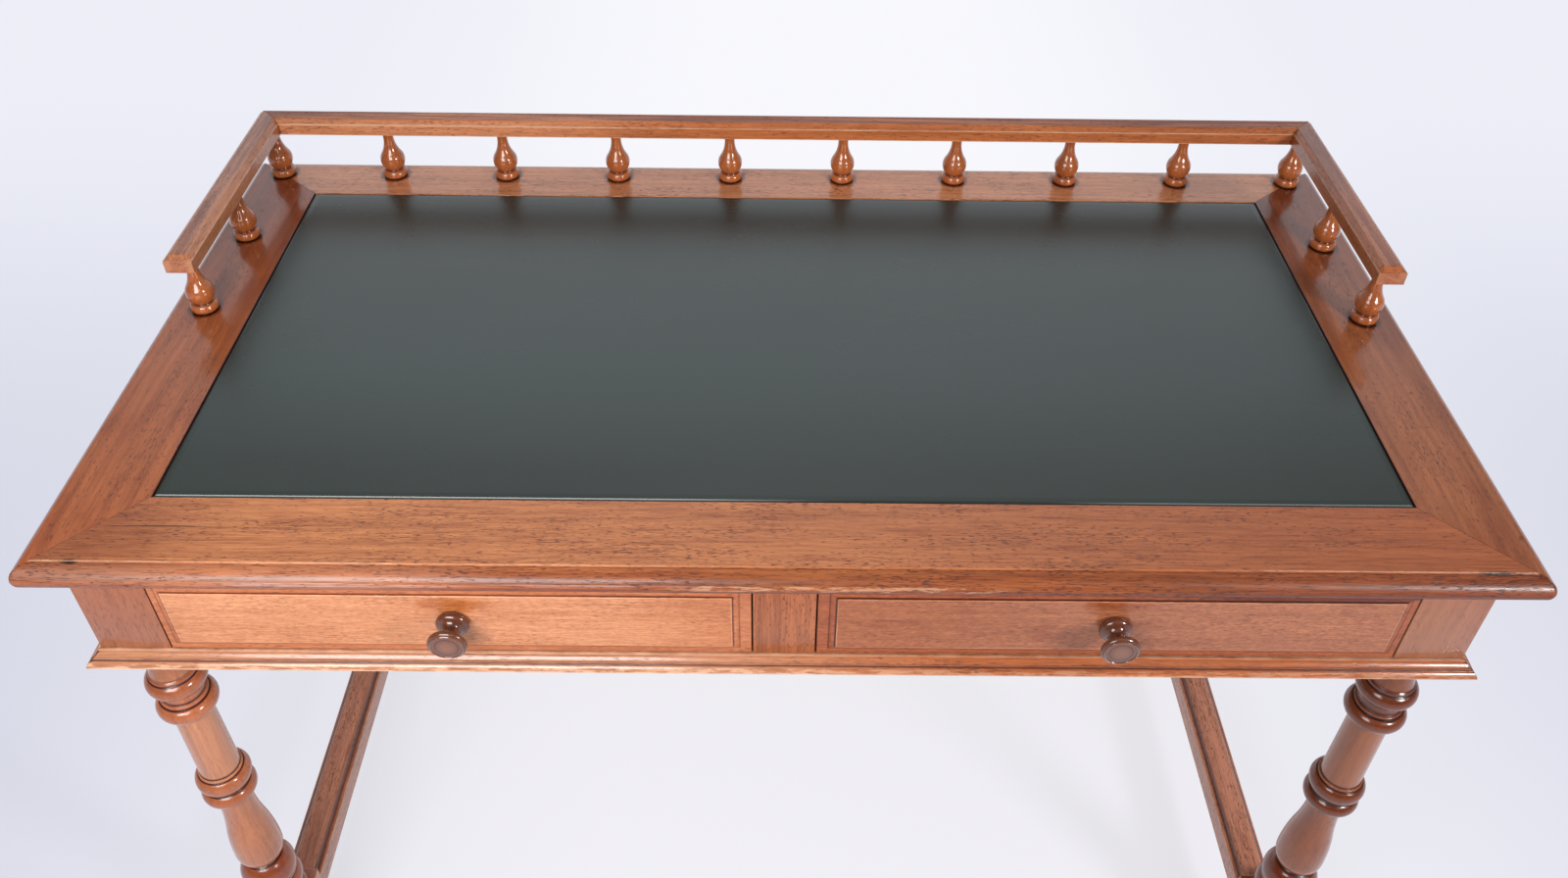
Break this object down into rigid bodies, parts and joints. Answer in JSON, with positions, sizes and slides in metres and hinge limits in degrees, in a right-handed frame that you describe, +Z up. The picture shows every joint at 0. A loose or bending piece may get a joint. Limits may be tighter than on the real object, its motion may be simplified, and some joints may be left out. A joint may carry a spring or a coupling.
{
  "type": "writing desk",
  "caption": "Writing desk with a leather-lined top framed in moulded wood, a low turned gallery at the back, frieze drawers with turned knobs and turned legs joined by moulded stretchers.",
  "frame": {"origin": "on the floor, under the middle of the desk's overall width and depth, knobs included", "axes": "+X to the sitter's right along the width, +Y away from the sitter, +Z up; the drawers open towards -Y"},
  "size_m": [1.22, 0.637, 0.825],
  "materials": {
    "show_wood": "polished warm brown hardwood",
    "knob_wood": "dark polished hardwood",
    "inner_wood": "plain, unpolished",
    "leather": "dark green, satin",
    "screw_steel": "plain steel"
  },
  "bodies": {
    "desk": {"top_frame_front": "show_wood", "top_frame_back": "show_wood", "top_frame_left": "show_wood", "top_frame_right": "show_wood", "gallery_rail_back": "show_wood", "gallery_rail_left": "show_wood", "gallery_rail_right": "show_wood", "baluster_back_1": "show_wood", "baluster_back_2": "show_wood", "baluster_back_3": "show_wood", "baluster_back_4": "show_wood", "baluster_back_5": "show_wood", "baluster_back_6": "show_wood", "baluster_back_7": "show_wood", "baluster_back_8": "show_wood", "baluster_back_9": "show_wood", "baluster_back_10": "show_wood", "baluster_left_1": "show_wood", "baluster_left_2": "show_wood", "baluster_right_1": "show_wood", "baluster_right_2": "show_wood", "leg_front_left": "show_wood", "leg_front_right": "show_wood", "leg_back_left": "show_wood", "leg_back_right": "show_wood", "apron_left": "show_wood", "apron_right": "show_wood", "apron_back": "show_wood", "top_rail": "show_wood", "drawer_rail": "show_wood", "centre_stile": "show_wood", "base_moulding_front": "show_wood", "base_moulding_left": "show_wood", "base_moulding_right": "show_wood", "stretcher_left": "show_wood", "stretcher_right": "show_wood", "stretcher_back": "show_wood", "mitre_tongues": "inner_wood", "writing_panel": "inner_wood", "drawer_runner_left": "inner_wood", "drawer_runner_right": "inner_wood", "drawer_runner_centre": "inner_wood", "drawer_kicker_left": "inner_wood", "drawer_kicker_right": "inner_wood", "drawer_kicker_centre": "inner_wood", "drawer_stops": "inner_wood", "leather_skin": "leather", "top_screws": "screw_steel"},
    "drawer_left": {"drawer_left_front": "show_wood", "drawer_left_knob": "knob_wood", "drawer_left_side_inner": "inner_wood", "drawer_left_side_outer": "inner_wood", "drawer_left_back": "inner_wood", "drawer_left_bottom": "inner_wood"},
    "drawer_right": {"drawer_right_front": "show_wood", "drawer_right_knob": "knob_wood", "drawer_right_side_inner": "inner_wood", "drawer_right_side_outer": "inner_wood", "drawer_right_back": "inner_wood", "drawer_right_bottom": "inner_wood"}
  },
  "joints": [
    {"name": "drawer_left_slide", "type": "slide", "parent": "desk", "child": "drawer_left", "axis": [0, -1, 0], "range_m": [0, 0.38]},
    {"name": "drawer_right_slide", "type": "slide", "parent": "desk", "child": "drawer_right", "axis": [0, -1, 0], "range_m": [0, 0.38]}
  ]
}
